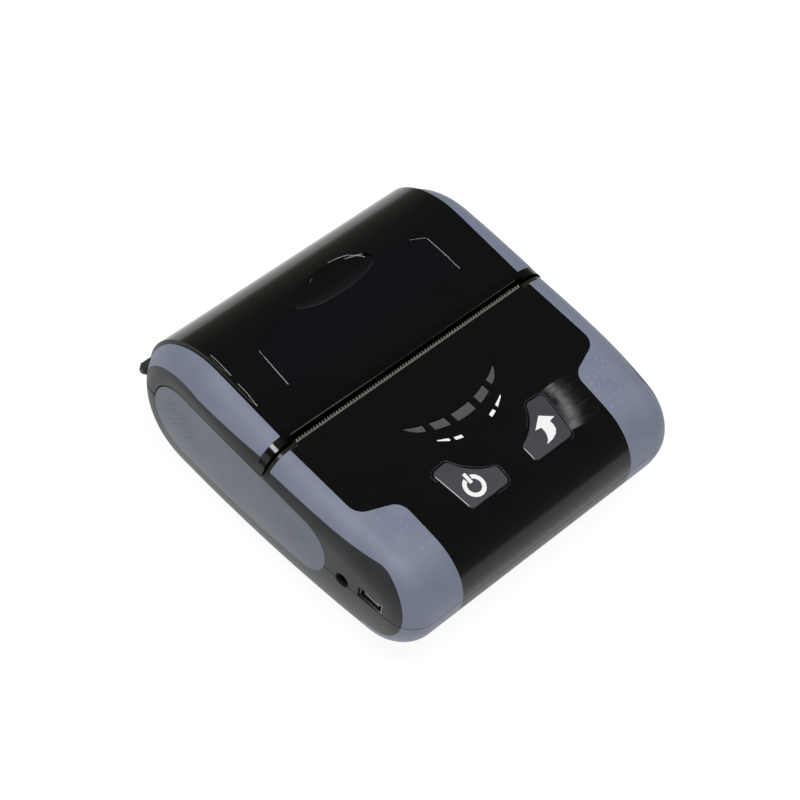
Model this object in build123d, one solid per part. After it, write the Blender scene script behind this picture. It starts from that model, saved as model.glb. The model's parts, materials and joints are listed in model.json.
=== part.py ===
# Mobile receipt printer for 80 mm paper, closed and standing on its flat underside.
# Millimetres, +Z up, +Y towards the paper compartment, origin under the middle of the case.
from build123d import *
from math import asin, atan2, cos, hypot, pi, radians, sin, sqrt, tan
import os

# Overall case
FRONT_Y = -53.5
REAR_Y = 53.3
HALF_WIDTH = 51.8
WIDEST_Y = -7.0
SIDE_BOW_RADIUS = 500.0
PARTING_Z = 23.5
EDGE_RADIUS = 8.5
WALL = 2.2
SKIN = 1.1
LUG_DEPTH = 3.2
SEAM_WIDTH = 0.25

# Side view of the front housing: a flat deck, a gentle brow and a rounded nose
DECK_Z = 42.0
DECK_EDGE_Y = 1.0
DECK_SLOPE = 2.8
BROW_START_Y = -19.0
BROW_SLOPE = 12.3
NOSE_RADIUS = 15.25

# Side view of the cover: a ramp rising to a half round about the paper roll
ROLL_Y = 30.8
ROLL_Z = 23.39
COVER_RADIUS = 22.5
COVER_SLOPE = 6.5
PANEL_PROUD = 0.6
PANEL_SLOPE = 8.0
BUCKET_RADIUS = 20.0

# Lower shell: how far each side draws in from the parting line to the flat underside
HULL_FRONT = 24.5
HULL_SIDE_FRONT = 13.7
HULL_SIDE_REAR = 6.1
HULL_REAR = 16.0
HULL_STEPS = 6

# Gap between the cover and what stays on the base
COVER_EDGE_Y = 1.6
SLOT_REAR_Y = 2.6
RUN_GAP = 0.4
SEAT_GAP = 0.25

# Paper tray: half tube and end plates
TRAY_WALL = 1.5
TRAY_HALF = 43.0
PLATE_X0 = 41.2
PLATE_X1 = 42.8
GUIDE_TOP_Z = 36.5
GUIDE_REACH = 41.0

# Hinge at the rear: where its barrels begin and end to each side
HINGE_Y = 52.9
HINGE_Z = 23.5
BARREL_RADIUS = 1.9
HINGE_PIN_RADIUS = 0.9
COVER_BARREL = (35.7, 40.6)
BASE_BARREL = (41.0, 45.4)
BARREL_END_X = 46.6
RIM_RELIEF = 0.7
PANEL_FOOT = 0.8

# Platen and its gear train
PLATEN_Y = 6.0
PLATEN_Z = 34.0
PLATEN_RADIUS = 4.0
SHAFT_RADIUS = 1.5
GEAR_MODULE = 0.5
PLATEN_TEETH = 20
IDLER_TEETH = 24
PINION_TEETH = 14
GEAR_X = 46.0
GEAR_WIDTH = 2.6
GEAR_SPACE = 5.9
IDLER_ANGLE = 257.0
PINION_ANGLE = 205.0

# Grips: where the grey rubber bands meet the glossy middle and the dark cheeks
BAND_X = 43.8
COVER_BAND_X = 43.5
WAVE_INNER_X = 31.4
BAND_SIDE_Z = 38.2
CORNER_TURN = (-36.4, 24.4)
CORNER_REACH = 12.8
COVER_BAND_SIDE_Z = 39.7
COVER_BAND_TURN = [(28.0, 39.8), (43.8, 36.0), (51.2, 23.4)]

# Oval side inserts: two end circles joined by a bowed top and a straight bottom, seen from the side
OVAL_FRONT = (-14.0, 24.9, 9.3)
OVAL_REAR = (32.6, 22.9, 11.8)
OVAL_BULGE = 0.9
OVAL_X0 = 44.0
OVAL_X1 = 60.0

# Buttons, mirrored about the middle: plan outline of the right-hand one
BUTTON_POINTS = [(14.65, -27.2), (4.6, -35.7), (4.8, -41.2), (18.8, -41.2), (20.6, -27.6)]
BUTTON_GAP = 0.25
BUTTON_TOP = 0.35
BUTTON_EDGE = 0.25
BUTTON_FLANGE = 0.9

# Status windows: their glossy surround steps down by this much, this far out
LENS_RIM = 0.28
LENS_RIM_DEPTH = 0.3

# Sockets on the left side
JACK_Y = -29.6
JACK_RADIUS = 1.9
USB_Y = -39.2
USB_WIDTH = 8.0
USB_HEIGHT = 3.6


def prism_x(face, x0, x1):
    """A side-view face, drawn in (y, z), carried from x0 to x1."""
    return extrude(Plane.YZ.offset(x0) * face, amount=x1 - x0)


def prism_z(face, z0, z1):
    """A plan face, drawn in (x, y), carried from z0 to z1."""
    return extrude(Plane.XY.offset(z0) * face, amount=z1 - z0)


def box(x0, x1, y0, y1, z0, z1):
    return Pos((x0 + x1) / 2, (y0 + y1) / 2, (z0 + z1) / 2) * Box(x1 - x0, y1 - y0, z1 - z0)


def rod_x(y, z, radius, x0, x1):
    return Pos((x0 + x1) / 2, y, z) * Rot(0, 90, 0) * Cylinder(radius, x1 - x0)


def side_half_width(y, inset=0.0):
    """Half width of the bowed side at a given y."""
    radius = SIDE_BOW_RADIUS - inset
    return HALF_WIDTH - SIDE_BOW_RADIUS + sqrt(radius**2 - (y - WIDEST_Y) ** 2)


def plan_outline(inset, front, side_front, side_rear, rear, radius):
    """Plan of the case, straight ends and bowed sides, offset by inset and drawn in by the other amounts."""
    y0 = FRONT_Y + inset + front
    y1 = REAR_Y - inset - rear
    x0 = side_half_width(y0, inset) - side_front
    x1 = side_half_width(y1, inset) - side_rear
    share = (WIDEST_Y - y0) / (y1 - y0)
    xm = HALF_WIDTH - inset - side_front - (side_rear - side_front) * share
    outline = Curve() + [
        Line((-x0, y0), (x0, y0)),
        ThreePointArc((x0, y0), (xm, WIDEST_Y), (x1, y1)),
        Line((x1, y1), (-x1, y1)),
        ThreePointArc((-x1, y1), (-xm, WIDEST_Y), (-x0, y0)),
    ]
    sketch = make_face(outline)
    return fillet(sketch.vertices(), radius)


def nose_profile(inset):
    """Side view of the front housing, carried on past the split and below the parting line."""
    slope = radians(DECK_SLOPE)
    steep = radians(BROW_SLOPE)
    brow_y = FRONT_Y + NOSE_RADIUS * (1 - sin(steep))
    brow_z = DECK_Z - (DECK_EDGE_Y - BROW_START_Y) * tan(slope)
    top_y = BROW_START_Y
    brow_radius = (top_y - brow_y) / (sin(steep) - sin(slope))
    nose_z = brow_z - brow_radius * (cos(slope) - cos(steep))
    centre = (brow_y + NOSE_RADIUS * sin(steep), nose_z - NOSE_RADIUS * cos(steep))
    brow_centre = (top_y + brow_radius * sin(slope), brow_z - brow_radius * cos(slope))

    def on_brow(angle, amount):
        radius = brow_radius - amount
        return (brow_centre[0] - radius * sin(angle), brow_centre[1] + radius * cos(angle))

    def on_nose(angle, amount):
        radius = NOSE_RADIUS - amount
        return (centre[0] - radius * sin(angle), centre[1] + radius * cos(angle))

    start = on_brow(slope, inset)
    back = (12.0, start[1] + (12.0 - start[0]) * tan(slope))
    middle = on_brow((slope + steep) / 2, inset)
    join = on_nose(steep, inset)
    round_mid = on_nose((steep + pi / 2) / 2, inset)
    tip = on_nose(pi / 2, inset)
    foot = (tip[0], 8.0)
    heel = (12.0, 8.0)
    outline = Curve() + [
        Line(back, start),
        ThreePointArc(start, middle, join),
        ThreePointArc(join, round_mid, tip),
        Line(tip, foot),
        Line(foot, heel),
        Line(heel, back),
    ]
    return make_face(outline)


def cover_profile(radius, slope):
    """Side view of the cover, carried on past the split and below the parting line."""
    angle = radians(slope)
    touch = (ROLL_Y - radius * sin(angle), ROLL_Z + radius * cos(angle))
    front = (-10.0, touch[1] - (touch[0] + 10.0) * tan(angle))
    turn = (pi / 2 - angle) / 2
    mid = (ROLL_Y + radius * cos(turn), ROLL_Z + radius * sin(turn))
    rear = (ROLL_Y + radius, ROLL_Z)
    outline = Curve() + [
        Line((-10.0, 8.0), front),
        Line(front, touch),
        ThreePointArc(touch, mid, rear),
        Line(rear, (rear[0], 8.0)),
        Line((rear[0], 8.0), (-10.0, 8.0)),
    ]
    return make_face(outline)


def rounded_form(profile, side_inset, radius, loose_y):
    """Profile carried across the case, trimmed by the bowed sides and rounded along both ends."""
    body = prism_x(profile, -60, 60)
    y0, y1 = -70.0, 70.0
    x0 = side_half_width(y0, side_inset)
    x1 = side_half_width(y1, side_inset)
    xm = HALF_WIDTH - side_inset
    plan = Curve() + [
        Line((-x0, y0), (x0, y0)),
        ThreePointArc((x0, y0), (xm, WIDEST_Y), (x1, y1)),
        Line((x1, y1), (-x1, y1)),
        ThreePointArc((-x1, y1), (-xm, WIDEST_Y), (-x0, y0)),
    ]
    body = body & prism_z(make_face(plan), 0, 60)
    ends = [
        e
        for e in body.edges()
        if abs(e.center().X) > 44 and e.center().Z > 8.1 and abs(e.center().Y - loose_y) > 0.5
    ]
    return fillet(ends, radius)


def front_form(inset):
    return rounded_form(nose_profile(inset), inset, EDGE_RADIUS - inset, 12.0)


def cover_form(inset):
    return rounded_form(cover_profile(COVER_RADIUS - inset, COVER_SLOPE), inset, EDGE_RADIUS - inset, -10.0)


def hull_form(inset):
    """Lower half of the case: plan outlines drawn in along a quarter ellipse down to the flat underside."""
    faces = []
    for step in range(HULL_STEPS + 1):
        angle = pi / 2 * step / HULL_STEPS
        z = PARTING_Z - (PARTING_Z - inset) * sin(angle)
        shift = 1 - cos(angle)
        radius = EDGE_RADIUS - inset + 3.0 * shift
        full = (HULL_FRONT, HULL_SIDE_FRONT, HULL_SIDE_REAR, HULL_REAR)
        amounts = [(amount - inset) * shift for amount in full]
        faces.append(Plane.XY.offset(z) * plan_outline(inset, *amounts, radius))
    return loft([f.face() for f in faces])


def ring_x(y, z, outer, inner, x0, x1):
    """A sleeve along X."""
    return rod_x(y, z, outer, x0, x1) - rod_x(y, z, inner, x0, x1)


def mirror_x(shape):
    return mirror(shape, about=Plane.YZ)


def on_side(shape, side):
    return shape if side > 0 else mirror_x(shape)


def one_solid(shape):
    """The largest solid of a cut, so that a sliver left by a cut is dropped."""
    return max(shape.solids(), key=lambda s: s.volume)


def upper_case(inset):
    """The housing above the parting line: front deck and cover together."""
    front = front_form(inset) & box(-70, 70, -70, COVER_EDGE_Y - 0.3, PARTING_Z, 70)
    rear = cover_form(inset) & box(-70, 70, COVER_EDGE_Y - 0.3, 70, PARTING_Z, 70)
    return front, rear


def oval_face(grow=0.0):
    """Side view of the oval insert."""
    y0, z0, r0 = OVAL_FRONT
    y1, z1, r1 = OVAL_REAR
    reach = hypot(y1 - y0, z1 - z0)
    tilt = atan2(z1 - z0, y1 - y0)
    lean = asin((r1 - r0) / reach)
    r0 += grow
    r1 += grow
    up = tilt + pi / 2 + lean
    down = tilt - pi / 2 - lean
    a = (y0 + r0 * cos(up), z0 + r0 * sin(up))
    b = (y1 + r1 * cos(up), z1 + r1 * sin(up))
    c = (y1 + r1 * cos(down), z1 + r1 * sin(down))
    d = (y0 + r0 * cos(down), z0 + r0 * sin(down))
    crown = ((a[0] + b[0]) / 2, (a[1] + b[1]) / 2 + OVAL_BULGE)
    outline = Curve() + [
        ThreePointArc(a, crown, b),
        ThreePointArc(b, (y1 + r1 * cos(tilt), z1 + r1 * sin(tilt)), c),
        Line(c, d),
        ThreePointArc(d, (y0 - r0 * cos(tilt), z0 - r0 * sin(tilt)), a),
    ]
    return make_face(outline)


def wave_zone():
    """Plan of the glossy middle of the front housing, between the two rubber grips."""
    points = [(BAND_X, 5.0), (BAND_X, -24.4), (WAVE_INNER_X + 0.8, -28.8), (WAVE_INNER_X, -60.0)]
    right = FilletPolyline(points, radius=[4.6, 4.4])
    left = mirror(right, about=Plane.YZ)
    outline = Curve() + [right, left, Line((-BAND_X, 5.0), (BAND_X, 5.0))]
    outline += Line((-WAVE_INNER_X, -60.0), (WAVE_INNER_X, -60.0))
    return make_face(outline)


def front_side_zone():
    """Side view of what lies above the cheek of the front housing: a straight edge and a round nose."""
    turn_y, turn_z = CORNER_TURN
    reach = CORNER_REACH
    top = turn_z + reach
    outline = Curve() + [
        Line((10.0, BAND_SIDE_Z + 0.1), (turn_y, top)),
        ThreePointArc((turn_y, top), on_circle((turn_y, turn_z), reach, 135), (turn_y - reach, turn_z)),
        Line((turn_y - reach, turn_z), (turn_y - reach, 20.0)),
        Line((turn_y - reach, 20.0), (-70.0, 20.0)),
        Line((-70.0, 20.0), (-70.0, 60.0)),
        Line((-70.0, 60.0), (10.0, 60.0)),
        Line((10.0, 60.0), (10.0, BAND_SIDE_Z + 0.1)),
    ]
    return make_face(outline)


def cover_side_zone():
    """Side view of what lies above the cheek of the cover."""
    start, middle, end = COVER_BAND_TURN
    foot = (end[0], 10.0)
    front = (-5.0, COVER_BAND_SIDE_Z)
    outline = Curve() + [
        Line(front, start),
        ThreePointArc(start, middle, end),
        Line(end, foot),
        Line(foot, (70.0, 10.0)),
        Line((70.0, 10.0), (70.0, 60.0)),
        Line((70.0, 60.0), (-5.0, 60.0)),
        Line((-5.0, 60.0), front),
    ]
    return make_face(outline)


def button_face(grow=0.0):
    """Plan of the right-hand button: two straight sides, round corners and a hollow inner shoulder."""
    a, b, c, d, e = BUTTON_POINTS
    hollow = ((a[0] + b[0]) / 2 + 1.0, (a[1] + b[1]) / 2 - 1.3)
    outline = Curve() + [
        ThreePointArc(a, hollow, b),
        Line(b, c),
        Line(c, d),
        Line(d, e),
        Line(e, a),
    ]
    sketch = make_face(outline)
    sketch = fillet(sketch.vertices(), 1.6)
    if grow:
        sketch = offset(sketch, amount=grow)
    return sketch


def lens_faces():
    """Plan of the five status windows: slices of a crescent that tapers to a point at both ends."""
    top_radius = 31.7
    low_radius = 25.9
    top_y = -17.6
    low_y = -20.35
    tip = (16.6, -13.05)
    crescent = Pos(0, top_y + top_radius) * Circle(top_radius)
    crescent = (Pos(0, low_y + low_radius) * Circle(low_radius)) - crescent
    slices = []
    for x0, x1 in ((-3.2, 3.2), (5.5, 9.85)):
        strip = Pos((x0 + x1) / 2, -20.0) * Rectangle(x1 - x0, 12.0)
        slices.append(crescent & strip)
    outer = make_face(
        Curve()
        + [
            ThreePointArc((11.8, -15.35), (14.4, -14.35), tip),
            ThreePointArc(tip, (15.0, -15.4), (12.1, -17.3)),
            Line((12.1, -17.3), (11.8, -15.35)),
        ]
    )
    slices.append(outer)
    left = [mirror(s, about=Plane.YZ) for s in slices[1:]]
    return [left[1], left[0], slices[0], slices[1], slices[2]]


def gear(teeth, width, bore, phase):
    """A spur gear along X with involute flanks; one tooth points at the angle phase, seen from +X."""
    pitch = teeth * GEAR_MODULE / 2
    tip = pitch + 0.9 * GEAR_MODULE
    root = pitch - 1.25 * GEAR_MODULE
    base = pitch * cos(radians(20))
    backlash = 0.14
    half_pitch_angle = (pi * GEAR_MODULE / 2 - backlash) / (2 * pitch)

    def involute(radius):
        angle = sqrt(max(0.0, (radius / base) ** 2 - 1))
        return angle - atan2(angle, 1)

    def half_angle(radius):
        if radius < base:
            radius = base
        return half_pitch_angle + involute(pitch) - involute(radius)

    points = []
    for tooth in range(teeth):
        middle = radians(phase) + 2 * pi * tooth / teeth
        levels = (root, max(root + 0.1, base), pitch, tip)
        for radius in levels:
            angle = middle - half_angle(radius)
            points.append((radius * cos(angle), radius * sin(angle)))
        for radius in reversed(levels):
            angle = middle + half_angle(radius)
            points.append((radius * cos(angle), radius * sin(angle)))
    face = make_face(Polyline(*points, close=True))
    wheel = prism_x(face, -width / 2, width / 2)
    return wheel - rod_x(0, 0, bore, -width, width)


def on_circle(centre, radius, angle):
    return (centre[0] + radius * cos(radians(angle)), centre[1] + radius * sin(radians(angle)))


FRONT_OUT = front_form(0)
FRONT_SKIN = front_form(SKIN)
FRONT_IN = front_form(WALL)
COVER_OUT = cover_form(0)
COVER_SKIN = cover_form(SKIN)
COVER_IN = cover_form(COVER_RADIUS - BUCKET_RADIUS)
HULL_OUT = hull_form(0)
HULL_SKIN = hull_form(SKIN)
HULL_IN = hull_form(WALL)

SEAM = (HULL_OUT - hull_form(SEAM_WIDTH)) & box(-70, 70, -70, 70, PARTING_Z - SEAM_WIDTH, PARTING_Z)

OVAL = prism_x(oval_face(), OVAL_X0, OVAL_X1)
OVAL_CLEAR = prism_x(oval_face(RUN_GAP), OVAL_X0, OVAL_X1)
WAVE = prism_z(wave_zone(), 0, 60)
ABOVE_FRONT_CHEEK = prism_x(front_side_zone(), 0, 60)
ABOVE_COVER_CHEEK = prism_x(cover_side_zone(), 0, 60)
FRONT_BLOCK = box(-70, 70, -70, DECK_EDGE_Y, PARTING_Z, 70)
PANEL_REAR_Y = -0.3
BAND_END_Y = 0.0
BARREL_CLEAR = rod_x(HINGE_Y, HINGE_Z, BARREL_RADIUS + RUN_GAP, COVER_BARREL[0] - RUN_GAP, BASE_BARREL[0])
TRAY_SPACE = HULL_IN + box(-60, 60, -60, 49.0, PARTING_Z - 0.01, 60)
COVER_BLOCK = box(-70, 70, COVER_EDGE_Y, 70, PARTING_Z + SEAT_GAP, 70)

DECK_ANGLE = 7.5
KEY_PLANE = Location((0, -33.0, 31.9), (DECK_ANGLE, 0, 0))
KEY_BOARD = (52.0, 26.0, 1.2)
KEY_POSTS = [(-23.5, -10.5), (-23.5, 10.5), (23.5, -10.5), (23.5, 10.5)]
BOARD_TOP = 22.3
BOARD_THICK = 1.6
SWITCH_X = 12.6
SWITCH_Y = -1.4
SCREW_SPOTS = [(42.5, -20.0), (-42.5, -20.0), (30.0, -43.0), (-30.0, -43.0)]
SCREW_RADIUS = 1.25
SCREW_SEAT_Z = 8.0

IDLER_CENTRE = on_circle((PLATEN_Y, PLATEN_Z), (PLATEN_TEETH + IDLER_TEETH) * GEAR_MODULE / 2, IDLER_ANGLE)
PINION_CENTRE = on_circle(IDLER_CENTRE, (IDLER_TEETH + PINION_TEETH) * GEAR_MODULE / 2, PINION_ANGLE)

parts = {}


def build_front():
    layer = FRONT_OUT - FRONT_SKIN
    front = FRONT_OUT & FRONT_BLOCK
    panel_zone = WAVE & box(-70, 70, -70, PANEL_REAR_Y, PARTING_Z, 70)
    grip_zone = (ABOVE_FRONT_CHEEK - WAVE) & box(20, 70, -70, BAND_END_Y, PARTING_Z, 70)
    panel = one_solid(layer & panel_zone)
    grip = one_solid(layer & grip_zone)
    shell = front - FRONT_IN
    shell -= panel
    shell -= grip
    shell -= mirror_x(grip)
    shell -= OVAL
    shell -= mirror_x(OVAL)
    shell -= box(-41.6, 41.6, PANEL_REAR_Y, 5, 30, 60)
    for side in (1, -1):
        face = button_face(BUTTON_GAP)
        hole = prism_z(face if side == 1 else mirror(face, about=Plane.YZ), 28, 60)
        shell -= hole
        panel -= hole
    rim_layer = FRONT_OUT - front_form(LENS_RIM_DEPTH)
    for index, face in enumerate(lens_faces()):
        cut = prism_z(face, 30, 60)
        shell -= cut
        panel -= cut
        panel -= rim_layer & prism_z(offset(face, amount=LENS_RIM), 30, 60)
        lens = (front_form(0.18) - FRONT_IN) & cut
        parts[f"status_lens_{index + 1}"] = one_solid(lens)
    for x, y in SCREW_SPOTS:
        foot_z = PARTING_Z if abs(y) < 30 else BOARD_TOP
        boss = Pos(x, y, 40) * Cylinder(2.8, 2 * (40 - foot_z))
        shell += boss & FRONT_SKIN & box(-70, 70, -70, 10, foot_z, 60)
        shell -= Pos(x, y, 15) * Cylinder(SCREW_RADIUS, 30)
    for x, y in KEY_POSTS:
        shell += KEY_PLANE * Pos(x, y, KEY_BOARD[2] / 2 + 4) * Cylinder(1.6, 8) & FRONT_SKIN
    shell -= rod_x(JACK_Y, PARTING_Z + 0.6, JACK_RADIUS + 0.3, -60, -45)
    half = USB_WIDTH / 2 + 0.2
    shell -= box(-60, -45, USB_Y - half, USB_Y + half, 20, PARTING_Z + USB_HEIGHT + 0.2)
    parts["front_shell"] = one_solid(shell)
    parts["control_panel"] = one_solid(panel)
    parts["front_grip_right"] = grip
    parts["front_grip_left"] = one_solid(mirror_x(grip))


def build_buttons():
    underside = front_form(3.45)
    cap = front_form(-BUTTON_TOP) - underside
    flange = front_form(2.45) - underside
    body = one_solid(cap & prism_z(button_face(), 28, 60))
    body = fillet(body.faces().sort_by(Axis.Z)[-1].edges(), BUTTON_EDGE)
    body += flange & prism_z(button_face(BUTTON_FLANGE), 28, 60)
    body += KEY_PLANE * Pos(SWITCH_X, SWITCH_Y, 3.2) * Cylinder(1.8, 1.5)
    body = one_solid(body)
    parts["feed_button"] = body
    parts["power_button"] = one_solid(mirror_x(body))


def build_lower():
    shell = HULL_OUT - HULL_IN - SEAM
    turn_y, turn_z = CORNER_TURN
    corner = box(WAVE_INNER_X, 70, -70, turn_y, 9.0, PARTING_Z) - rod_x(turn_y, turn_z, CORNER_REACH, 0, 70)
    grip = one_solid((HULL_OUT - HULL_SKIN - SEAM) & corner)
    shell -= grip
    shell -= mirror_x(grip)
    front, rear = upper_case(SKIN)
    front_deep, rear_deep = upper_case(LUG_DEPTH)
    lug = ((front + rear) - (front_deep + rear_deep)) & OVAL
    lug += (HULL_SKIN - hull_form(LUG_DEPTH)) & OVAL
    lug = one_solid(lug)
    recess = OVAL & (HULL_OUT - HULL_SKIN)
    shell -= recess
    shell -= mirror_x(recess)
    shell += lug
    shell += mirror_x(lug)

    start, end = BASE_BARREL
    web_points = [(51.6, 23.3), (51.6, 18.6), (52.4, 18.6), (54.4, 22.2), (HINGE_Y, 23.3)]
    web = make_face(Polyline(*web_points, close=True))
    knuckle = rod_x(HINGE_Y, HINGE_Z, BARREL_RADIUS, start, end)
    tip = Cone(BARREL_RADIUS, 0.9, BARREL_END_X - end)
    knuckle += Pos((end + BARREL_END_X) / 2, HINGE_Y, HINGE_Z) * Rot(0, 90, 0) * tip
    knuckle += prism_x(web, start, start + 2.8)
    pin_hole = rod_x(HINGE_Y, HINGE_Z, HINGE_PIN_RADIUS, 30, end)
    for side in (1, -1):
        shell += on_side(knuckle, side)
        shell -= on_side(BARREL_CLEAR, side)
        shell -= on_side(pin_hole, side)
    shell -= rod_x(HINGE_Y, HINGE_Z, RIM_RELIEF, -COVER_BARREL[0], COVER_BARREL[0])
    shell -= rod_x(JACK_Y, PARTING_Z + 0.6, JACK_RADIUS + 0.3, -60, -45)

    for x, y in SCREW_SPOTS:
        head_z = PARTING_Z if abs(y) < 30 else BOARD_TOP - BOARD_THICK
        shell += Pos(x, y, head_z / 2) * Cylinder(3.6, head_z) & HULL_OUT
        shell -= Pos(x, y, 15) * Cylinder(SCREW_RADIUS + 0.05, 30)
        shell -= Pos(x, y, SCREW_SEAT_Z - 5) * Cylinder(2.6, 10)
    posts = box(43.5, 47.0, -12.0, -8.0, 1, 13.0) + box(43.5, 47.0, 2.0, 5.0, 1, 13.0)
    for side in (1, -1):
        shell += on_side(posts & HULL_OUT, side)

    shell -= box(-29.2, 29.2, -26.2, 4.7, -1, 3)
    door = fillet(box(-29.0, 29.0, -26.0, 4.5, 0, 2.0).edges().filter_by(Axis.Z), 1.5)
    door -= box(-26.5, 26.5, -23.5, 2.0, 1.3, 3)
    finger = Pos(0, -1.5, 0) * Cylinder(6.5, 1.2) & box(-10, 10, -4.5, 5, -1, 1)
    door -= finger
    pack = box(-28.0, 22.0, -25.0, 3.5, 2.3, 19.5)
    parts["battery_door"] = one_solid(door)
    parts["battery_pack"] = one_solid(fillet(pack.edges().filter_by(Axis.X), 4.0))
    parts["lower_shell"] = one_solid(shell)
    parts["lower_grip_right"] = grip
    parts["lower_grip_left"] = one_solid(mirror_x(grip))


def build_tray():
    """Half tube that the paper roll lies in, with an end plate and a round guide at each end."""
    outer = BUCKET_RADIUS + TRAY_WALL
    low_half = box(-60, 60, 0, 60, 0.5, PARTING_Z)
    tray = ring_x(ROLL_Y, ROLL_Z, outer, BUCKET_RADIUS, -TRAY_HALF, TRAY_HALF) & low_half
    guide = rod_x(ROLL_Y, ROLL_Z, BUCKET_RADIUS - 0.9, PLATE_X0, PLATE_X1)
    guide &= box(0, 60, 0, 60, 0, GUIDE_TOP_Z) & rod_x(HINGE_Y, HINGE_Z, GUIDE_REACH, 40, 44)
    plate = rod_x(ROLL_Y, ROLL_Z, outer, PLATE_X0, PLATE_X1) & low_half
    barrels = rod_x(HINGE_Y, HINGE_Z, BARREL_RADIUS + RUN_GAP, COVER_BARREL[0] - RUN_GAP, BARREL_END_X)
    for side in (1, -1):
        tray += on_side(guide + plate, side)
        tray -= on_side(barrels, side)
    parts["paper_tray"] = one_solid(tray & TRAY_SPACE)


def build_side_grips():
    outer_front, outer_rear = upper_case(0)
    inner_front, inner_rear = upper_case(SKIN)
    skin = (outer_front + outer_rear + HULL_OUT) - (inner_front + inner_rear + HULL_SKIN)
    grip = one_solid(skin & OVAL)
    parts["side_grip_right"] = grip
    parts["side_grip_left"] = one_solid(mirror_x(grip))


def window_face():
    points = [(31.0, 14.5), (31.0, 26.4), (14.2, 30.6), (-14.2, 30.6), (-31.0, 26.4), (-31.0, 14.5)]
    return fillet(make_face(Polyline(*points, close=True)).vertices(), 0.8)


def build_cover():
    proud_radius = COVER_RADIUS + PANEL_PROUD
    half = COVER_BAND_X
    raised = prism_x(cover_profile(proud_radius, PANEL_SLOPE), -half, half)
    ends = [e for e in raised.edges() if abs(abs(e.center().X) - half) < 0.1]
    edges = [e for e in ends if e.center().Z > 24 and e.center().Y > -9]
    raised = chamfer(edges, 0.7, 1.6)
    slot_block = box(-70, 70, SLOT_REAR_Y, 70, PARTING_Z + PANEL_FOOT, 70)
    panel = (raised - COVER_SKIN) & slot_block
    frame = (COVER_OUT - COVER_IN) & COVER_BLOCK
    frame -= box(-41.6, 41.6, 0, SLOT_REAR_Y, 30, 60)
    grip_zone = (ABOVE_COVER_CHEEK & box(half, 70, 4.2, 70, PARTING_Z + SEAT_GAP, 70))
    grip = one_solid((COVER_OUT - COVER_SKIN) & grip_zone)
    panel = one_solid(panel & box(-half, half, -5, 70, 0, 70))
    frame -= (raised - COVER_SKIN) & box(-70, 70, -70, 70, PARTING_Z + PANEL_FOOT, 70)
    frame -= grip
    frame -= mirror_x(grip)
    frame -= OVAL_CLEAR
    frame -= mirror_x(OVAL_CLEAR)
    frame -= rod_x(PLATEN_Y, PLATEN_Z, GEAR_SPACE, GEAR_X - GEAR_WIDTH, GEAR_X + GEAR_WIDTH / 2 + RUN_GAP)

    window_zone = prism_z(window_face(), 30, 60)
    window_top = prism_x(cover_profile(proud_radius - 0.12, PANEL_SLOPE), -half, half)
    window = one_solid((window_top - COVER_SKIN) & window_zone)
    panel -= window_zone
    scoop = Pos(0, 31.6, 46.2) * Rot(-6, 0, 0) * scale(Sphere(1), by=(14.4, 5.2, 1.2))
    panel -= scoop
    window -= scoop

    rib = box(41.2, 43.2, 2.9, 10.4, 30.4, 44.0) & COVER_SKIN
    rib -= rod_x(PLATEN_Y, PLATEN_Z, 2.6, 40, 45)
    start, end = COVER_BARREL
    web_points = [(50.9, 23.8), (50.9, 29.0), (52.2, 29.0), (54.4, 25.2), (HINGE_Y, 23.8)]
    web = make_face(Polyline(*web_points, close=True))
    knuckle = rod_x(HINGE_Y, HINGE_Z, BARREL_RADIUS, start, end) + prism_x(web, start, end)
    relief = rod_x(HINGE_Y, HINGE_Z, BARREL_RADIUS + RUN_GAP, end, 49.5)
    pin_hole = rod_x(HINGE_Y, HINGE_Z, HINGE_PIN_RADIUS + 0.05, 30, end + 1)
    roll_space = rod_x(ROLL_Y, ROLL_Z, BUCKET_RADIUS, -60, 60)
    for side in (1, -1):
        for cut in (relief, knuckle, pin_hole):
            panel -= on_side(cut, side)
        frame -= on_side(relief, side)
        frame += on_side(rib, side)
        frame += on_side(knuckle, side) - roll_space
        frame -= on_side(pin_hole, side)
    parts["cover_frame"] = one_solid(frame)
    parts["cover_panel"] = one_solid(panel)
    parts["cover_window"] = one_solid(window)
    parts["cover_grip_right"] = one_solid(grip - relief)
    parts["cover_grip_left"] = one_solid(mirror_x(parts["cover_grip_right"]))
    bush = ring_x(PLATEN_Y, PLATEN_Z, 2.6, SHAFT_RADIUS + 0.05, 41.0, 43.3)
    bush += ring_x(PLATEN_Y, PLATEN_Z, 3.4, SHAFT_RADIUS + 0.05, 40.6, 41.2)
    parts["platen_bush_right"] = one_solid(bush)
    parts["platen_bush_left"] = one_solid(mirror_x(bush))


def build_platen():
    parts["platen_shaft"] = rod_x(PLATEN_Y, PLATEN_Z, SHAFT_RADIUS, -45.4, GEAR_X + 1.7)
    parts["platen_roller"] = ring_x(PLATEN_Y, PLATEN_Z, PLATEN_RADIUS, SHAFT_RADIUS, -40.2, 40.2)
    wheel = gear(PLATEN_TEETH, GEAR_WIDTH, SHAFT_RADIUS, IDLER_ANGLE)
    parts["platen_gear"] = Pos(GEAR_X, PLATEN_Y, PLATEN_Z) * wheel


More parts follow.
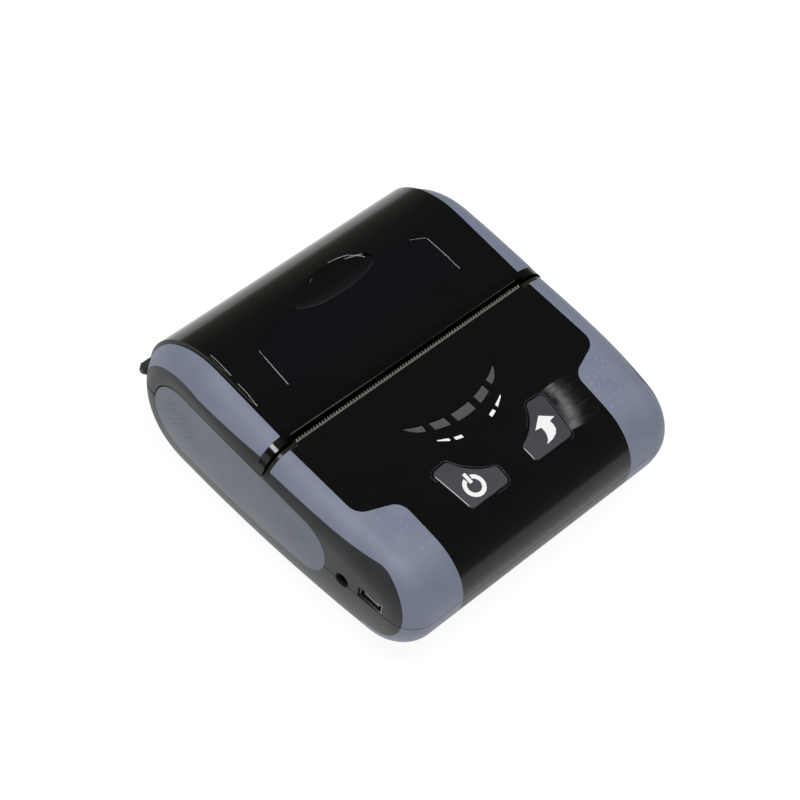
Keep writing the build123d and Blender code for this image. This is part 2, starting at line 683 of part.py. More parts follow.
def build_drive():
    idler_phase = IDLER_ANGLE + 180 + 180 / IDLER_TEETH
    idler = gear(IDLER_TEETH, GEAR_WIDTH, 1.05, idler_phase)
    parts["idler_gear"] = Pos(GEAR_X, *IDLER_CENTRE) * idler
    pitch_angle = 360 / IDLER_TEETH
    ahead = (idler_phase - PINION_ANGLE) % pitch_angle
    pinion_gap = PINION_ANGLE + 180 - ahead * IDLER_TEETH / PINION_TEETH
    pinion_phase = pinion_gap + 180 / PINION_TEETH
    pinion = gear(PINION_TEETH, GEAR_WIDTH, 1.0, pinion_phase)
    parts["motor_pinion"] = Pos(GEAR_X, *PINION_CENTRE) * pinion
    y, z = PINION_CENTRE
    parts["motor_shaft"] = rod_x(y, z, 1.0, 40.0, GEAR_X + 1.3)
    motor = rod_x(y, z, 7.5, 24.5, 43.4) - rod_x(y, z, 1.05, 39.9, 45)
    motor += ring_x(y, z, 3.0, 1.05, 43.4, 43.5)
    parts["feed_motor"] = one_solid(motor)
    y, z = IDLER_CENTRE
    parts["idler_stud"] = rod_x(y, z, 1.0, 44.3, GEAR_X + 1.6)


PLATE_POINTS = [(-13.0, 13.0), (-13.0, 37.6), (1.6, 38.4), (9.0, 38.4), (9.0, 13.0)]
NOTCH_POINTS = [
    (PLATEN_Y - 1.9, PLATEN_Z),
    (PLATEN_Y + 1.9, PLATEN_Z),
    (PLATEN_Y + 6.0, 42.0),
    (PLATEN_Y - 0.9, 42.0),
]


def build_mechanism():
    plate_face = make_face(Polyline(*PLATE_POINTS, close=True))
    plate = prism_x(plate_face, 43.5, 44.3)
    run = make_face(Polyline(*NOTCH_POINTS, close=True))
    notch = prism_x(run, 43, 45) + rod_x(PLATEN_Y, PLATEN_Z, 1.9, 43, 45)
    y, z = PINION_CENTRE
    right = plate - notch - rod_x(y, z, 3.2, 43, 45)
    frame = right + mirror_x(plate - notch) + box(-43.6, 43.6, -3.4, -2.4, 27.0, 37.8)
    parts["mechanism_frame"] = one_solid(frame)
    parts["head_heatsink"] = box(-42.5, 42.5, -2.3, 0.9, 27.0, 38.2)
    parts["print_head"] = box(-41.8, 41.8, 0.9, 1.9, 28.0, 38.0)


def build_tear_bar():
    """Folded steel blade: a leg, and a lip that ends in saw teeth pointing at the slot."""
    pitch = 0.8
    count = 102
    tip_y = DECK_EDGE_Y
    gullet_y = tip_y - 0.65
    half = pitch * count / 2
    points = [(-half, -0.25)]
    for tooth in range(count):
        x = -half + pitch * tooth
        points.append((x, gullet_y))
        points.append((x + pitch / 2, tip_y))
    points.append((half, gullet_y))
    points.append((half, -0.25))
    lip = prism_z(make_face(Polyline(*points, close=True)), 41.35, 41.9)
    leg = box(-half, half, -0.25, 0.3, 38.2, 41.4)
    parts["tear_bar"] = one_solid(lip + leg)


def build_electronics():
    board = box(-47.0, 38.0, -47.0, -25.8, BOARD_TOP - BOARD_THICK, BOARD_TOP)
    board = chamfer(board.edges().filter_by(Axis.Z), 3.5)
    for x, y in SCREW_SPOTS[2:]:
        board -= Pos(x, y, BOARD_TOP) * Cylinder(SCREW_RADIUS + 0.1, 6)
    parts["main_board"] = one_solid(board)
    z = PARTING_Z + 0.6
    jack = box(-48.7, -41.0, JACK_Y - 2.8, JACK_Y + 2.8, 22.3, 27.4)
    jack += rod_x(JACK_Y, z, JACK_RADIUS + 0.2, -50.3, -48.7)
    jack -= rod_x(JACK_Y, z, JACK_RADIUS - 0.2, -52, -43.5)
    jack += rod_x(JACK_Y, z, 0.65, -49.5, -43.4)
    parts["dc_jack"] = one_solid(jack)
    port = box(-50.4, -42.0, USB_Y - USB_WIDTH / 2, USB_Y + USB_WIDTH / 2, PARTING_Z, PARTING_Z + USB_HEIGHT)
    half = USB_WIDTH / 2 - 0.4
    port -= box(-52, -44.5, USB_Y - half, USB_Y + half, PARTING_Z + 0.4, PARTING_Z + USB_HEIGHT - 0.4)
    port += box(-50.0, -44.4, USB_Y - 2.6, USB_Y + 2.6, PARTING_Z + 1.4, PARTING_Z + 2.2)
    port += box(-48.0, -42.0, USB_Y - 3.0, USB_Y + 3.0, BOARD_TOP, PARTING_Z + 0.2)
    parts["usb_port"] = one_solid(port)
    plane = KEY_PLANE
    parts["key_board"] = one_solid(plane * Box(*KEY_BOARD))
    for name, x in (("feed_switch", SWITCH_X), ("power_switch", -SWITCH_X)):
        body = plane * Pos(x, SWITCH_Y, 1.2) * Box(4.5, 4.5, 1.2)
        parts[name] = one_solid(body)


def build_hinge_pins():
    pin = rod_x(HINGE_Y, HINGE_Z, HINGE_PIN_RADIUS, COVER_BARREL[0] - 0.2, BASE_BARREL[1])
    parts["hinge_pins"] = Compound([pin.solid(), mirror_x(pin).solid()])


def build_screws():
    screws = []
    for x, y in SCREW_SPOTS:
        screw = Pos(x, y, SCREW_SEAT_Z - 0.8) * Cylinder(2.4, 1.6)
        screw += Pos(x, y, SCREW_SEAT_Z + 10) * Cylinder(SCREW_RADIUS, 20)
        screws.append(screw.solid())
    parts["case_screws"] = Compound(screws)


build_front()
build_buttons()
build_lower()
build_tray()
build_side_grips()
build_cover()
build_platen()
build_drive()
build_mechanism()
build_tear_bar()
build_electronics()
build_hinge_pins()
build_screws()

os.makedirs("parts", exist_ok=True)
for name, shape in parts.items():
    export_step(shape, f"parts/{name}.step")
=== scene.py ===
# A handheld receipt printer on a pale floor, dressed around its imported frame.
# Lengths are in metres. On the printer itself they are written in millimetres, and MM scales them.
import json
import math

import bmesh
import bpy
from mathutils import Matrix, Vector
from mathutils.bvhtree import BVHTree

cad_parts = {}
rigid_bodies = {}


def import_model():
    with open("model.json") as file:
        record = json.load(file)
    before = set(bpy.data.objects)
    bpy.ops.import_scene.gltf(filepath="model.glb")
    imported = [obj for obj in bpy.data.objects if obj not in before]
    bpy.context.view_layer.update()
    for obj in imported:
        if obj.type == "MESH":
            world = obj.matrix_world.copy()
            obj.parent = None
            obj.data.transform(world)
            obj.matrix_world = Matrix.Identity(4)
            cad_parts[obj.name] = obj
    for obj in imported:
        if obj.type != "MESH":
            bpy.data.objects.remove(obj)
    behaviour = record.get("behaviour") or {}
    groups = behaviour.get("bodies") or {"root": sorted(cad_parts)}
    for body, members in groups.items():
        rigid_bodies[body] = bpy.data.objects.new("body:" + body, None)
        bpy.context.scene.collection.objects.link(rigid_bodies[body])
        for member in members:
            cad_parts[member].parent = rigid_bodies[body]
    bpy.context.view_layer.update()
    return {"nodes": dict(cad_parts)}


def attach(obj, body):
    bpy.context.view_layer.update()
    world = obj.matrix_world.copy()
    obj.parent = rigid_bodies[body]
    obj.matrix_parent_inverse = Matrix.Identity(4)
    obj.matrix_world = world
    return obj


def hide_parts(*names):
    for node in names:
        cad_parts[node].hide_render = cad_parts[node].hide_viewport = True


for leftover in list(bpy.data.objects):
    bpy.data.objects.remove(leftover, do_unlink=True)

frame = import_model()
nodes = frame["nodes"]

MM = 0.001
SIDES = ((-1, "left"), (1, "right"))  # direction along X, and the word for it in names
CLEAR = 90  # farther out than any part of the printer, so that a ray starts outside it
PATCHY = ((0.3, 0.0), (0.7, 1.0))  # ramp stops that spread the middle of a noise over 0 to 1


def fill_ramp(ramp, stops):
    """Gives a colour ramp its stops, each a position with a grey or a linear colour."""
    while len(ramp.elements) > len(stops):
        ramp.elements.remove(ramp.elements[-1])
    while len(ramp.elements) < len(stops):
        ramp.elements.new(1.0)
    for element, (position, shade) in zip(ramp.elements, stops):
        element.position = position
        element.color = (*shade, 1.0) if isinstance(shade, tuple) else (shade, shade, shade, 1.0)


class Value:
    """A socket in a node tree that can be used in ordinary arithmetic."""

    def __init__(self, finish, socket):
        self.finish = finish
        self.socket = socket

    def join(self, operation, first, second):
        return self.finish.node("ShaderNodeMath", {"operation": operation}, {0: first, 1: second})

    def __add__(self, other):
        return self.join("ADD", self, other)

    def __radd__(self, other):
        return self.join("ADD", other, self)

    def __rsub__(self, other):
        return self.join("SUBTRACT", other, self)

    def __mul__(self, other):
        return self.join("MULTIPLY", self, other)

    def __rmul__(self, other):
        return self.join("MULTIPLY", other, self)

    def __truediv__(self, other):
        return self.join("DIVIDE", self, other)

    def larger(self, other):
        return self.join("MAXIMUM", self, other)

    def below(self, other):
        return self.join("LESS_THAN", self, other)

    def above(self, other):
        return self.join("GREATER_THAN", self, other)

    def within(self, half):
        """1 between minus and plus a number, and 0 elsewhere."""
        return self.below(half) * self.above(-half)


class Finish:
    """A material under construction: its node tree and the one shader that ends it."""

    def __init__(self, name, **constants):
        self.material = bpy.data.materials.new(name)
        self.material.use_nodes = True
        self.tree = self.material.node_tree
        self.tree.nodes.clear()
        self.shader = self.principled(**constants)
        self.output = self.tree.nodes.new("ShaderNodeOutputMaterial")
        self.tree.links.new(self.shader.outputs["BSDF"], self.output.inputs["Surface"])
        self.place = self.node("ShaderNodeTexCoord", output="Object")

    def principled(self, **constants):
        """A shader with constants on its own sockets, whose names have _ for each space."""
        shader = self.tree.nodes.new("ShaderNodeBsdfPrincipled")
        for socket, value in constants.items():
            shader.inputs[socket.replace("_", " ")].default_value = value
        return shader

    def set(self, socket, value):
        if isinstance(value, Value):
            self.tree.links.new(value.socket, socket)
        else:
            socket.default_value = value

    def node(self, kind, settings=None, inputs=None, output=0):
        made = self.tree.nodes.new(kind)
        for key, value in (settings or {}).items():
            setattr(made, key, value)
        for key, value in (inputs or {}).items():
            self.set(made.inputs[key], value)
        return Value(self, made.outputs[output])

    def vector_math(self, operation, *inputs, output=0):
        return self.node("ShaderNodeVectorMath", {"operation": operation}, dict(enumerate(inputs)), output)

    def noise(self, size, detail=2.0, roughness=0.5, stretch=(1, 1, 1)):
        """Noise whose patches are about size metres across, stretched along an axis by a factor."""
        spread = tuple(1 / (size * factor) for factor in stretch)
        place = self.vector_math("MULTIPLY", self.place, spread)
        inputs = {"Vector": place, "Scale": 1.0, "Detail": detail, "Roughness": roughness}
        return self.node("ShaderNodeTexNoise", {}, inputs)

    def along(self, axis):
        """The distance from the origin along an axis of the frame."""
        return self.node("ShaderNodeSeparateXYZ", {}, {0: self.place}, axis)

    def away(self):
        """The distance from the origin."""
        return self.vector_math("LENGTH", self.place, output=1)

    def steps(self, value, *stops):
        """A value carried over to grey by the stops of a ramp."""
        shade = self.node("ShaderNodeValToRGB", {}, {0: value})
        fill_ramp(shade.socket.node.color_ramp, stops)
        return shade

    def clouds(self):
        """Soft patches of about a centimetre, between 0 and 1."""
        return self.steps(self.noise(9 * MM, 3.0), *PATCHY)

    def blend(self, factor, first, second):
        """A colour between two colours."""
        inputs = {0: factor, 6: colour(first), 7: colour(second)}
        return self.node("ShaderNodeMix", {"data_type": "RGBA"}, inputs, 2)

    def base(self, value):
        self.set(self.shader.inputs["Base Color"], value)

    def rough(self, value):
        self.set(self.shader.inputs["Roughness"], value)

    def bump(self, height, depth):
        bump = self.node("ShaderNodeBump", {}, {"Height": height, "Distance": depth, "Strength": 1.0})
        self.set(self.shader.inputs["Normal"], bump)

    def shade(self, mask):
        """Paints shade: turns the finish dead black where a mask is 1, standing in for the shade deep in a
        slot.
        """
        black = (0.0015, 0.0015, 0.0013, 1.0)
        # This dead black shader is painted shade, mixed in by the mask.
        dull = self.principled(Base_Color=black, Roughness=1.0, Specular_IOR_Level=0.0)
        mix = self.tree.nodes.new("ShaderNodeMixShader")
        self.set(mix.inputs[0], mask)
        self.tree.links.new(self.shader.outputs["BSDF"], mix.inputs[1])
        self.tree.links.new(dull.outputs["BSDF"], mix.inputs[2])
        self.tree.links.new(mix.outputs[0], self.output.inputs["Surface"])


def colour(value):
    """A colour given by its three sRGB bytes, or a link as it is."""
    if isinstance(value, Value):
        return value
    linear = [(c / 255 / 12.92) if c <= 10 else ((c / 255 + 0.055) / 1.055) ** 2.4 for c in value]
    return (*linear, 1.0)


CHARCOAL = ((46, 48, 50), (52, 54, 57))

# Darker and lighter colour, size and depth of the grain, roughness, and specular level if not 0.5
MOULDED = {
    "charcoal_plastic": (*CHARCOAL, 0.22, 0.004, 0.42, 0.25),
    "tray_plastic": ((44, 44, 46), (52, 52, 54), 0.3, 0.004, 0.38),
    "grip_rubber": ((119, 127, 147), (128, 136, 155), 0.16, 0.005, 0.5, 0.3),
    "side_rubber": ((96, 105, 118), (103, 112, 125), 0.16, 0.005, 0.52),
    "button_plastic": ((57, 56, 64), (62, 61, 69), 0.2, 0.003, 0.36),
    "head_ceramic": ((206, 202, 190), (218, 214, 204), 0.08, 0.002, 0.24),
    "gear_plastic": ((222, 219, 206), (232, 229, 218), 0.3, 0.003, 0.38),
    "bush_plastic": ((150, 146, 134), (160, 156, 144), 0.3, 0.003, 0.44),
    "switch_black": ((24, 24, 25), (32, 32, 33), 0.2, 0.003, 0.5),
    "socket_black": ((14, 14, 15), (20, 20, 21), 0.15, 0.003, 0.42),
    "battery_wrap": ((28, 38, 64), (34, 46, 76), 0.6, 0.01, 0.4),
    # The dots are lighter than the rubber they stand on: a painted highlight for the light that the small
    # domes catch.
    "grip_dot": ((140, 148, 174), (152, 160, 186), 0.16, 0.003, 0.42),
    "side_dot": ((112, 124, 138), (122, 134, 148), 0.16, 0.003, 0.42),
}

# Darker and lighter colour, how far the streaks are drawn out along each axis, and roughness
BRUSHED = {
    "blade_steel": ((168, 164, 154), (198, 195, 186), (60, 1, 1), 0.3),
    "frame_steel": ((160, 164, 168), (190, 193, 196), (1, 30, 1), 0.36),
    "screw_steel": ((58, 58, 60), (84, 84, 86), (1, 1, 1), 0.34),
    "heatsink_aluminium": ((182, 184, 186), (208, 209, 210), (80, 1, 1), 0.32),
    "gear_brass": ((190, 152, 84), (212, 176, 104), (1, 1, 1), 0.28),
    "motor_case": ((146, 148, 150), (172, 174, 176), (12, 1, 1), 0.38),
    "port_metal": ((96, 96, 96), (140, 140, 138), (1, 30, 1), 0.34),
}

# The slot side of the cover's lip lies before this y
LIP_FACE = 2.68 * MM


def moulded(name, dark, light, grain, depth, roughness, specular=0.5):
    """Moulded plastic or rubber: slight cloudiness in colour and gloss over a fine surface grain."""
    finish = Finish(name, Specular_IOR_Level=specular)
    finish.base(finish.blend(finish.clouds(), dark, light))
    finish.rough(roughness - 0.03 + 0.06 * finish.noise(2.5 * MM, 4.0))
    finish.bump(finish.noise(grain * MM, 1.0), depth * MM)
    return finish.material


def brushed(name, dark, light, stretch, roughness):
    """Metal drawn or ground along one axis."""
    finish = Finish(name, Metallic=1.0)
    streaks = finish.noise(0.12 * MM, 4.0, 0.6, stretch)
    finish.base(finish.blend(finish.steps(streaks, *PATCHY), dark, light))
    finish.rough(roughness - 0.06 + 0.12 * streaks)
    finish.bump(streaks, 0.002 * MM)
    return finish.material


def polish(finish, strip, tone, smoothing):
    """Satin charcoal, with another tone and less roughness where a mask is 1."""
    finish.base(finish.blend(strip, finish.blend(finish.clouds(), *CHARCOAL), tone))
    finish.rough(0.42 - smoothing * strip + 0.05 * finish.noise(2.5 * MM, 4.0))
    finish.bump(finish.noise(0.22 * MM, 1.0) * (1.0 - strip), 0.004 * MM)


def cover_plastic():
    """Satin charcoal, polished black on top and along the front edge, whose left end is lacquered, with
    painted shade (dead black) on the walls by the paper slot.
    """
    finish = Finish("cover_plastic", Specular_IOR_Level=0.25, Coat_Roughness=0.12)
    x, y, z = (finish.along(axis) for axis in "XYZ")
    cheek = 43.7 * MM
    lip_end = 43.0 * MM
    front = y.below(4.1 * MM) * z.above(36.5 * MM)
    top = x.within(cheek) * z.above(41.0 * MM)
    polish(finish, front.larger(top), (9, 9, 9), 0.34)
    finish.set(finish.shader.inputs["Coat Weight"], 0.45 * front * x.below(-cheek))
    # Painted shade: the slot's walls and the slot face of the lip are turned dead black.
    slot_shade_mask = y.below(1.7 * MM) * z.above(38.0 * MM)
    finish.shade(slot_shade_mask.larger(y.below(LIP_FACE) * x.within(lip_end)))
    return finish.material


def front_plastic():
    """The same charcoal, with a polished olive-black strip beside the slot."""
    finish = Finish("front_plastic", Specular_IOR_Level=0.25)
    strip = finish.along("Y").above(-0.35 * MM) * finish.along("Z").above(35.5 * MM)
    polish(finish, strip, (33, 34, 27), 0.24)
    return finish.material


def gloss_black():
    """Polished black with a faint waviness and the fine rubbing marks that such plastic collects, and
    painted shade on the lip's face over the slot.
    """
    finish = Finish("gloss_black", Specular_IOR_Level=0.28)
    finish.base(finish.blend(finish.noise(14 * MM, 2.0), (10, 10, 11), (14, 15, 16)))
    rubbed = finish.noise(0.5 * MM, 3.0, 0.6, (9, 1, 1))
    finish.rough(0.03 + 0.04 * finish.steps(rubbed, (0.45, 0.0), (0.75, 1.0)))
    finish.bump(finish.noise(6 * MM, 1.0), 0.003 * MM)
    # Painted shade: dead black on the slot side of the lip, from y 2.0 mm to its face.
    y = finish.along("Y")
    finish.shade(y.below(LIP_FACE) * y.above(2.0 * MM))
    return finish.material


def smoked_window():
    """Smoked acrylic, almost black."""
    finish = Finish("smoked_window", Transmission_Weight=0.25, IOR=1.49)
    finish.base(finish.blend(finish.noise(12 * MM, 1.0), (8, 9, 16), (11, 12, 21)))
    finish.rough(0.03 + 0.03 * finish.noise(1.2 * MM, 3.0))
    finish.bump(finish.noise(5 * MM, 1.0), 0.002 * MM)
    return finish.material


def lens_grey():
    """The frosted light pipes of the status windows."""
    finish = Finish("lens_grey", Transmission_Weight=0.15, IOR=1.49)
    finish.base(finish.blend(finish.noise(5 * MM, 2.0), (84, 84, 86), (101, 101, 103)))
    finish.rough(0.2 + 0.1 * finish.noise(0.8 * MM, 2.0))
    finish.bump(finish.noise(0.5 * MM, 1.0), 0.001 * MM)
    return finish.material


def platen_rubber():
    """Ground rubber: matt, with faint rings round the roller."""
    finish = Finish("platen_rubber")
    rings = finish.noise(0.35 * MM, 3.0, 0.6, (1, 60, 60))
    finish.base(finish.blend(rings, (38, 38, 40), (52, 52, 54)))
    finish.rough(0.62 + 0.1 * rings)
    finish.bump(rings, 0.01 * MM)
    return finish.material


def board_green():
    """Solder mask over copper tracks."""
    finish = Finish("board_green", Coat_Weight=0.3)
    tracks = finish.steps(finish.noise(1.4 * MM, 0.0, 0.5, (6, 1, 1)), (0.49, 0.0), (0.52, 1.0))
    finish.base(finish.blend(tracks, (14, 66, 42), (26, 92, 58)))
    finish.rough(0.3 + 0.08 * finish.noise(0.6 * MM, 2.0))
    finish.bump(tracks, 0.02 * MM)
    return finish.material


def tooth_steel():
    """Blasted, unpolished steel of the teeth."""
    finish = Finish("tooth_steel", Metallic=0.3)
    finish.base(finish.blend(finish.noise(2 * MM, 3.0), (128, 126, 118), (150, 148, 139)))
    finish.rough(0.5 + 0.1 * finish.noise(0.2 * MM, 2.0))
    finish.bump(finish.noise(0.1 * MM, 1.0), 0.002 * MM)
    return finish.material


def print_white():
    """White ink laid on plastic, with the slight unevenness of a pad print."""
    finish = Finish("print_white")
    finish.base(finish.blend(finish.noise(0.8 * MM, 3.0), (246, 246, 246), (254, 254, 254)))
    finish.rough(0.42 + 0.1 * finish.noise(0.3 * MM, 2.0))
    finish.bump(finish.noise(0.12 * MM, 1.0), 0.003 * MM)
    return finish.material


def rounded_edge(name, roughness):
    """The surface of a bead along a rounded edge, still without a colour; the caller's colour is a painted
    highlight where the edge catches the light.
    """
    finish = Finish(name)
    finish.rough(roughness + 0.08 * finish.noise(0.5 * MM, 2.0))
    finish.bump(finish.noise(0.6 * MM, 1.0), 0.002 * MM)
    return finish


def edge_bead():
    """A painted highlight: the light colour of a polished moulded edge catching the light, light along its
    whole length.
    """
    finish = rounded_edge("edge_bead", 0.18)
    finish.base(finish.blend(finish.noise(3 * MM, 3.0), (104, 104, 100), (190, 190, 186)))
    return finish.material


def rim_painted_highlight():
    """A painted highlight on the rim of a key's opening, which shows as a fine grey line."""
    finish = rounded_edge("rim_painted_highlight", 0.2)
    finish.base(finish.blend(finish.noise(6 * MM, 2.0), (20, 20, 21), (84, 84, 86)))
    return finish.material


def key_painted_highlight():
    """A painted highlight: the bright colour of a key's rounded edge where it catches the light."""
    finish = rounded_edge("key_painted_highlight", 0.16)
    finish.base(finish.blend(finish.noise(4 * MM, 3.0), (176, 176, 174), (248, 248, 246)))
    return finish.material


def lip_painted_highlight():
    """A painted highlight: the dull light line along the lip over the paper slot, faint from the middle to
    near its right end.
    """
    finish = rounded_edge("lip_painted_highlight", 0.3)
    along_lip = 0.5 + finish.along("X") / (82 * MM)
    # The painted highlight's strength along the lip, from its left end to its right.
    levels = ((0.0, 0.7), (0.18, 1.0), (0.3, 0.5), (0.42, 0.1), (0.7, 0.05), (0.9, 0.35))
    light = finish.steps(along_lip, *levels) * (0.6 + 0.6 * finish.noise(5 * MM, 3.0))
    finish.base(finish.blend(light, (12, 11, 9), (100, 97, 90)))
    return finish.material


materials = {name: moulded(name, *look) for name, look in MOULDED.items()}
materials.update({name: brushed(name, *look) for name, look in BRUSHED.items()})
for maker in (
    cover_plastic, front_plastic, gloss_black, smoked_window, lens_grey, platen_rubber, board_green,
    tooth_steel, print_white, edge_bead, rim_painted_highlight, key_painted_highlight, lip_painted_highlight,
):
    materials[maker.__name__] = maker()


def dress_nodes():
    """Gives every node the finish of its material slot, and two housings their own."""
    for node in nodes.values():
        for place in node.material_slots:
            place.material = materials[place.material.name.split(".")[0]]
    nodes["cover_frame"].material_slots[0].material = materials["cover_plastic"]
    nodes["front_shell"].material_slots[0].material = materials["front_plastic"]


def surface(*names):
    """The faces of the named nodes, for laying things on them."""
    corners = []
    faces = []
    for name in names:
        node = nodes[name]
        start = len(corners)
        corners += [node.matrix_world @ vertex.co for vertex in node.data.vertices]
        faces += [[start + i for i in face.vertices] for face in node.data.polygons]
    return BVHTree.FromPolygons(corners, faces)


def drop(skin, x, y):
    """The point of a surface straight below a place in plan, and which way it faces."""
    point, facing, _, _ = skin.ray_cast(Vector((x, y, CLEAR)) * MM, Vector((0, 0, -1)))
    return point, facing


def laid(skin, outline):
    """An outline in plan, dropped on a surface point by point."""
    return [drop(skin, x, y) for x, y in outline]


def from_side(skin, side, y, z):
    """The point of a surface seen level from the left (side -1) or right (side 1)."""
    point, facing, _, _ = skin.ray_cast(Vector((side * CLEAR, y, z)) * MM, Vector((-side, 0, 0)))
    return point, facing


def link_object(name, data):
    """Puts an object of the given data in the scene."""
    made = bpy.data.objects.new(name, data)
    bpy.context.scene.collection.objects.link(made)
    return made


def add_piece(name, mesh, finish, body):
    """Puts a mesh in the scene as a piece that moves with a body."""
    tidy = bmesh.new()
    tidy.from_mesh(mesh)
    bmesh.ops.recalc_face_normals(tidy, faces=tidy.faces)
    tidy.to_mesh(mesh)
    tidy.free()
    mesh.materials.clear()
    mesh.materials.append(materials[finish])
    made = link_object(name, mesh)
    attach(made, body)
    return made


def plates(name, outlines, rise, finish, body):
    """Thin plates let into a surface, each outlined by (point, facing), that stand out by a rise."""
    sunk = 0.03
    corners = []
    faces = []
    for places in outlines:
        start = len(corners)
        count = len(places)
        corners += [point + facing * (rise * MM) for point, facing in places]
        corners += [point - facing * (sunk * MM) for point, facing in places]
        faces.append([start + i for i in range(count)])
        faces.append([start + count + i for i in reversed(range(count))])
        for i in range(count):
            after = (i + 1) % count
            faces.append([start + i, start + count + i, start + count + after, start + after])
    mesh = bpy.data.meshes.new(name)
    mesh.from_pydata(corners, [], faces)
    add_piece(name, mesh, finish, body)


def node_group(name, *numbers):
    """An empty geometry node group that takes a guide, the named numbers and a material."""
    group = bpy.data.node_groups.new(name, "GeometryNodeTree")
    kinds = {"Geometry": "Geometry", **{number: "Float" for number in numbers}, "Material": "Material"}
    for label, kind in kinds.items():
        group.interface.new_socket(label, in_out="INPUT", socket_type="NodeSocket" + kind)
    group.interface.new_socket("Geometry", in_out="OUTPUT", socket_type="NodeSocketGeometry")
    return group


def chain(group, *kinds):
    """Nodes in a row, each fed by the one before, that end with the group's material.

    Gives the group's inputs and the nodes by kind.
    """
    given = group.nodes.new("NodeGroupInput").outputs
    made = {}
    wire = given["Geometry"]
    for kind in (*kinds, "SetMaterial"):
        node = group.nodes.new("GeometryNode" + kind)
        group.links.new(wire, node.inputs[0])
        wire = node.outputs[0]
        made[kind] = node
    group.links.new(given["Material"], made["SetMaterial"].inputs["Material"])
    group.links.new(wire, group.nodes.new("NodeGroupOutput").inputs[0])
    return given, made


def dot_group():
    """Small domes on the points of a guide."""
    group = node_group("dots", "Radius")
    given, made = chain(group, "MeshToPoints", "InstanceOnPoints", "RealizeInstances", "SetShadeSmooth")
    dome = group.nodes.new("GeometryNodeMeshIcoSphere")
    dome.inputs["Subdivisions"].default_value = 3
    group.links.new(given["Radius"], dome.inputs["Radius"])
    group.links.new(dome.outputs[0], made["InstanceOnPoints"].inputs["Instance"])
    return group


def bead_group():
    """A round bead along the edges of a guide."""
    group = node_group("bead", "Radius")
    given, made = chain(group, "MeshToCurve", "CurveToMesh", "SetShadeSmooth")
    profile = group.nodes.new("GeometryNodeCurvePrimitiveCircle")
    profile.inputs["Resolution"].default_value = 10
    group.links.new(given["Radius"], profile.inputs["Radius"])
    group.links.new(profile.outputs[0], made["CurveToMesh"].inputs["Profile Curve"])
    made["CurveToMesh"].inputs["Fill Caps"].default_value = True
    return group


def tooth_group():
    """Flat pointed teeth on the points of a guide, which point along +Y and rise by an angle."""
    group = node_group("teeth", "Radius", "Stretch", "Thickness", "Rise")
    given, made = chain(group, "MeshToPoints", "InstanceOnPoints", "RealizeInstances")
    prism = group.nodes.new("GeometryNodeMeshCylinder")
    prism.inputs["Vertices"].default_value = 3
    group.links.new(given["Radius"], prism.inputs["Radius"])
    group.links.new(given["Thickness"], prism.inputs["Depth"])
    # The triangle points along +X: it is drawn out that way, then turned to +Y
    stretch = group.nodes.new("ShaderNodeCombineXYZ")
    stretch.inputs[1].default_value = 1.0
    stretch.inputs[2].default_value = 1.0
    group.links.new(given["Stretch"], stretch.inputs[0])
    shape = group.nodes.new("GeometryNodeTransform")
    shape.inputs["Rotation"].default_value = (0, 0, math.pi / 2)
    group.links.new(prism.outputs[0], shape.inputs["Geometry"])
    group.links.new(stretch.outputs[0], shape.inputs["Scale"])
    angle = group.nodes.new("ShaderNodeCombineXYZ")
    group.links.new(given["Rise"], angle.inputs[0])
    lift = group.nodes.new("GeometryNodeTransform")
    group.links.new(shape.outputs[0], lift.inputs["Geometry"])
    group.links.new(angle.outputs[0], lift.inputs["Rotation"])
    group.links.new(lift.outputs[0], made["InstanceOnPoints"].inputs["Instance"])
    return group


DOTS = dot_group()
BEAD = bead_group()
TEETH = tooth_group()


def grown(name, group, places, edges, finish, body, **settings):
    """Runs a geometry node group on guide points and keeps the result as a plain piece."""
    guide = bpy.data.meshes.new(name + "_guide")
    guide.from_pydata(places, edges, [])
    holder = link_object(name + "_guide", guide)
    modifier = holder.modifiers.new("grow", "NODES")
    modifier.node_group = group
    settings["Material"] = materials[finish]
    for socket in group.interface.items_tree:
        if socket.in_out == "INPUT" and socket.name in settings:
            modifier[socket.identifier] = settings[socket.name]
    depsgraph = bpy.context.evaluated_depsgraph_get()
    mesh = bpy.data.meshes.new_from_object(holder.evaluated_get(depsgraph))
    mesh.name = name
    bpy.data.objects.remove(holder, do_unlink=True)
    return add_piece(name, mesh, finish, body)


def domes(name, places, radius, height, finish, body):
    """Domes of a given height that stand out of a surface."""
    depth = radius * MM - height * MM
    centres = [point - facing * depth for point, facing in places if point]
    grown(name, DOTS, centres, [], finish, body, Radius=radius * MM)


def bead(name, runs, radius, sink, finish, body):
    """Round beads let into a surface along runs of (point, facing)."""
    places = []
    edges = []
    for run in runs:
        start = len(places)
        places += [point - facing * (sink * MM) for point, facing in run]
        edges += [(start + i, start + i + 1) for i in range(len(run) - 1)]
    grown(name, BEAD, places, edges, finish, body, Radius=radius * MM)


def arc(centre, radius, first, last, count):
    """Points along an arc in plan, by angle in degrees."""
    angles = [math.radians(first + (last - first) * i / (count - 1)) for i in range(count)]
    return [(centre[0] + radius * math.cos(a), centre[1] + radius * math.sin(a)) for a in angles]


def line(first, last, count):
    """Points along a straight line in plan."""
    return [tuple(a + (b - a) * i / (count - 1) for a, b in zip(first, last)) for i in range(count)]


INK = 0.025


def print_power_mark():
    """Ring broken by a stroke, on the power key."""
    skin = surface("power_button")
    centre = (-13.58, -36.69)
    gap = 20.0
    rim = arc(centre, 3.2, 90 + gap, 450 - gap, 40)
    hole = arc(centre, 2.0, 450 - gap * 1.2, 90 + gap * 1.2, 40)
    stroke = [(-14.12, -32.6), (-14.12, -35.7), (-13.08, -35.7), (-13.08, -32.6)]
    outlines = [laid(skin, rim + hole), laid(skin, stroke)]
    plates("power_mark", outlines, INK, "print_white", "power_button")


